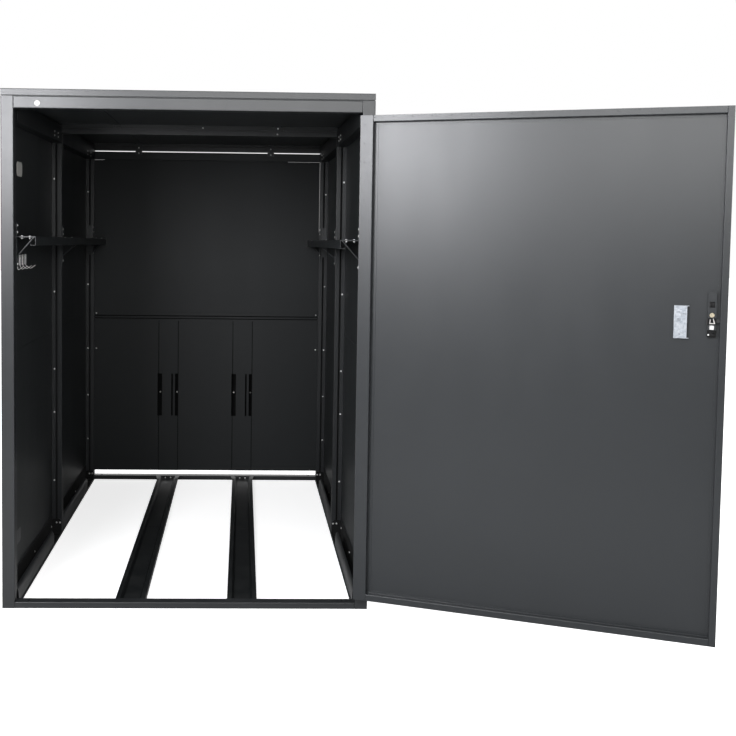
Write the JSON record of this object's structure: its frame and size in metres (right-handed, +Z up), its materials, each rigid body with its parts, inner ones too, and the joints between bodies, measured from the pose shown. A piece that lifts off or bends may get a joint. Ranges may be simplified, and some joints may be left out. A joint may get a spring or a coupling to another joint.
{
  "type": "bicycle locker",
  "caption": "Box-shaped sheet steel bicycle locker with a wide side-hinged door standing open, floor wheel gutters, side shelves and slotted wheel channels in the back wall.",
  "frame": {"origin": "middle of the four ground anchor holes, on the ground", "axes": "+Z up, +Y from the door opening towards the back wall, +X to the right seen from the front, towards the door hinges"},
  "size_m": [2.3585, 2.5587, 1.83],
  "materials": {
    "anthracite_paint": "satin powder coat",
    "galvanised_sheet": "galvanised, mottled",
    "zinc_steel": "zinc plated",
    "brass": "turned",
    "white_coated_steel": "glossy coating",
    "pale_plastic": "smooth",
    "black_coated_metal": "fine texture"
  },
  "bodies": {
    "locker": {"front_post_left": "anthracite_paint", "front_post_right": "anthracite_paint", "front_lintel": "anthracite_paint", "front_sill": "anthracite_paint", "roof_cap": "anthracite_paint", "roof_liner": "anthracite_paint", "roof_stringers": "anthracite_paint", "mid_roof_beam": "anthracite_paint", "rear_roof_beam": "anthracite_paint", "mid_post_left": "anthracite_paint", "rear_post_left": "anthracite_paint", "top_rail_left": "anthracite_paint", "floor_beam_left": "anthracite_paint", "mid_post_right": "anthracite_paint", "rear_post_right": "anthracite_paint", "top_rail_right": "anthracite_paint", "floor_beam_right": "anthracite_paint", "rear_floor_beam": "anthracite_paint", "floor_brackets": "anthracite_paint", "roof_brackets": "anthracite_paint", "side_panel_left_front_lower": "anthracite_paint", "side_panel_left_front_upper": "anthracite_paint", "side_panel_left_rear_lower": "anthracite_paint", "side_panel_left_rear_upper": "anthracite_paint", "side_panel_right_front_lower": "anthracite_paint", "side_panel_right_front_upper": "anthracite_paint", "side_panel_right_rear_lower": "anthracite_paint", "side_panel_right_rear_upper": "anthracite_paint", "blanking_plugs": "pale_plastic", "rear_top_rail": "anthracite_paint", "rear_upper_panel": "anthracite_paint", "rear_mid_rail": "anthracite_paint", "rear_lower_panels": "anthracite_paint", "wheel_channel_left": "anthracite_paint", "wheel_channel_right": "anthracite_paint", "wheel_gutter_left": "anthracite_paint", "wheel_gutter_right": "anthracite_paint", "shelf_left": "anthracite_paint", "shelf_right": "anthracite_paint", "shelf_brackets": "anthracite_paint", "bag_hooks": "white_coated_steel", "frame_screws": "zinc_steel", "hinge_frame_leaves": "anthracite_paint", "hinge_pins": "zinc_steel"},
    "door": {"door_skin": "anthracite_paint", "door_hinge_channel": "anthracite_paint", "door_lock_channel": "anthracite_paint", "door_top_channel": "anthracite_paint", "door_bottom_channel": "anthracite_paint", "hinge_door_leaves": "anthracite_paint", "door_pull_guard": "galvanised_sheet", "lock_case": "anthracite_paint", "lock_clip": "black_coated_metal", "handle_plate": "black_coated_metal", "lock_cylinder": "brass"},
    "key_plug": {"lock_plug": "brass"},
    "spindle": {"handle_spindle": "zinc_steel"},
    "bolt": {"latch_bolt": "black_coated_metal"},
    "lever": {"handle_lever": "black_coated_metal", "lever_pin": "zinc_steel"}
  },
  "joints": [
    {"name": "door_swing", "type": "hinge", "parent": "locker", "child": "door", "pos_m": [0.603, -1.0415, 0.9], "axis": [0, 0, 1], "range_deg": [-157.95, 10]},
    {"name": "handle_turn", "type": "hinge", "parent": "door", "child": "spindle", "pos_m": [1.66756, -1.47916, 1.0625], "axis": [0.3754, 0.9269, 0], "range_deg": [0, 90]},
    {"name": "bolt_throw", "type": "slide", "parent": "door", "child": "bolt", "axis": [0.9269, -0.3754, 0], "range_m": [0, 0.0198]},
    {"name": "lever_tilt", "type": "hinge", "parent": "spindle", "child": "lever", "pos_m": [1.67184, -1.4686, 1.0625], "axis": [0, 0, -1], "range_deg": [0, 25]},
    {"name": "key_turn", "type": "hinge", "parent": "door", "child": "key_plug", "pos_m": [1.66756, -1.47916, 1.1015], "axis": [0.3754, 0.9269, 0], "range_deg": [0, 90]}
  ],
  "couplings": [
    {"joint": "bolt_throw", "follows": "handle_turn", "m_per_rad": 0.012604}
  ]
}
